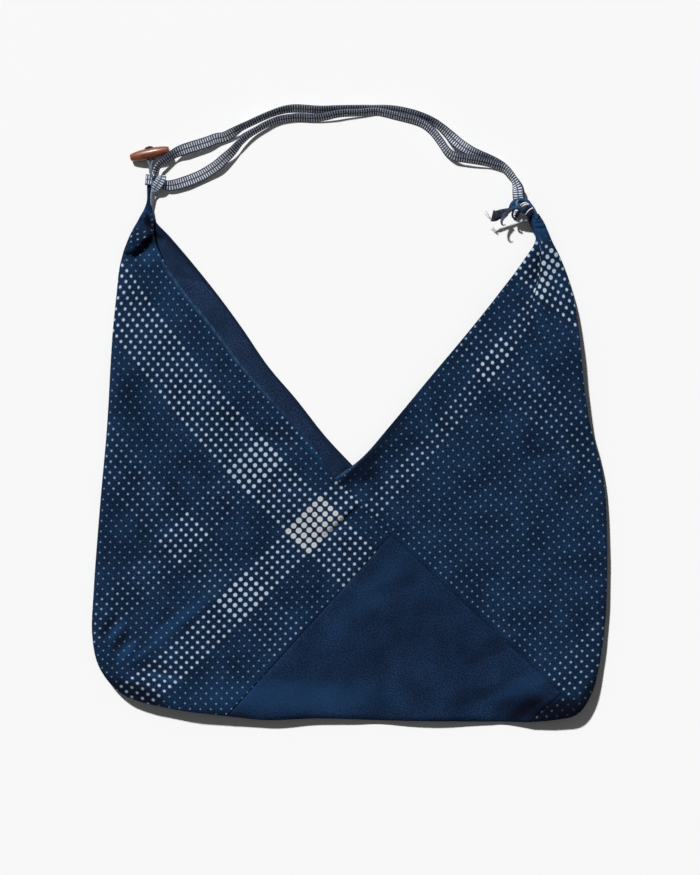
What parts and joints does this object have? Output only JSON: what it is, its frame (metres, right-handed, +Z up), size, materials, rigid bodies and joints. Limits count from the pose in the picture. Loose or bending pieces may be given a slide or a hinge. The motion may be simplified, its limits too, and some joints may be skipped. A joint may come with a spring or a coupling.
{
  "type": "tsuno (horn) shoulder bag with a tape strap",
  "caption": "Flat-lying horn bag of folded indigo cotton with a V-shaped mouth, knotted horns, a doubled woven tape strap and a wooden toggle.",
  "frame": {"origin": "middle of the bag's outline, strap included, on the surface that it lies on", "axes": "+Z up out of the surface, +Y from the bottom fold to the strap, +X to the right as seen from the front"},
  "size_m": [0.515, 0.62, 0.0184],
  "materials": {
    "dotted_cotton": "indigo cotton with a resist-dyed check of pale dots",
    "plain_cotton": "plain indigo cotton, slightly slubbed",
    "woven_tape": "flat woven tape in navy and white",
    "pale_cord": "thin twisted cotton cord",
    "turned_wood": "polished reddish wood"
  },
  "bodies": {
    "root": {"left_panel": "dotted_cotton", "right_panel": "dotted_cotton", "base_panel": "plain_cotton", "strap_tape": "woven_tape", "tape_knot": "woven_tape", "tape_loop": "woven_tape", "toggle": "turned_wood", "toggle_cord": "pale_cord", "horn_knot": "plain_cotton", "tie_end_long": "plain_cotton", "tie_end_short": "plain_cotton"}
  },
  "joints": []
}
